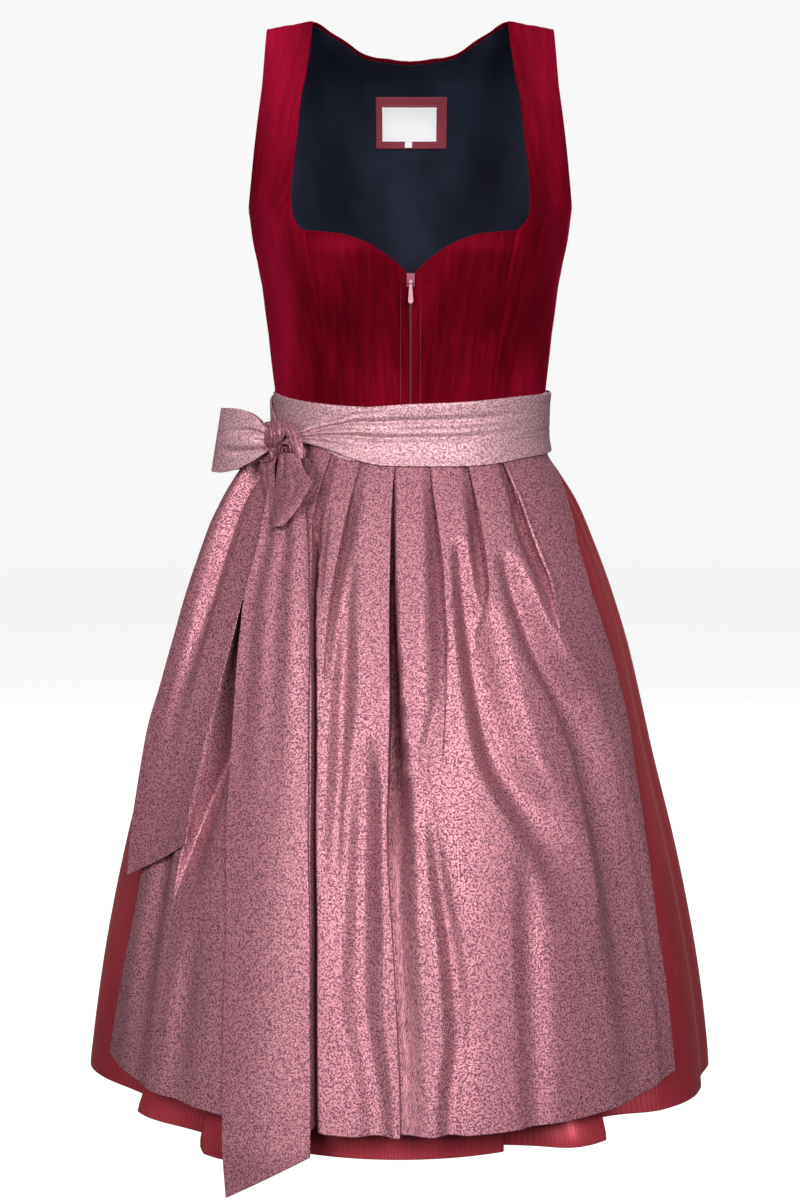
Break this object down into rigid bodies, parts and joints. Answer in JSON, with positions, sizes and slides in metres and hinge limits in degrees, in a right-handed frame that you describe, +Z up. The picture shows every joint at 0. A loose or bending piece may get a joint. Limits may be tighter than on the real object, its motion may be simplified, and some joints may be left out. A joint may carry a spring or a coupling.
{
  "type": "dirndl with apron",
  "caption": "Sleeveless dirndl: velvet bodice with sweetheart neckline and front zip, wide taffeta skirt, pleated apron with ties knotted in a bow at the wearer's right.",
  "frame": {"origin": "midway between the tops of the two shoulder straps, where the wearer's shoulders hold the garment", "axes": "+X to the wearer's left, +Y to the back so that the front faces -Y, +Z up along the body"},
  "size_m": [0.5945, 0.6058, 1.0271],
  "materials": {
    "velvet": "dark red cotton velvet",
    "lining": "dark blue-grey woven lining",
    "taffeta": "shot red taffeta with fine stripes",
    "jacquard": "old rose satin jacquard, small leaf pattern",
    "patch": "dark rose woven cloth",
    "label": "white woven ribbon, blank",
    "tape": "dark red zip tape",
    "zip": "rose enamel"
  },
  "bodies": {
    "garment": {"bodice_front_right": "velvet", "bodice_front_left": "velvet", "bodice_side_right": "velvet", "bodice_side_left": "velvet", "bodice_back": "velvet", "lining_back": "lining", "label_patch": "patch", "label": "label", "size_tab": "label", "zip_tape_right": "tape", "zip_tape_left": "tape", "zip_slider": "zip", "skirt_front": "taffeta", "skirt_back": "taffeta", "apron_panel": "jacquard", "apron_waistband": "jacquard", "tie_under": "jacquard", "tie_over": "jacquard", "knot": "jacquard", "loop_side": "jacquard", "loop_hanging": "jacquard", "tail_short": "jacquard", "tail_long": "jacquard"},
    "zip_pull": {"zip_pull": "zip"}
  },
  "joints": [
    {"name": "zip_pull_swing", "type": "hinge", "parent": "garment", "child": "zip_pull", "pos_m": [0, -0.1172, -0.242], "axis": [-1, 0, 0], "range_deg": [0, 160]}
  ]
}
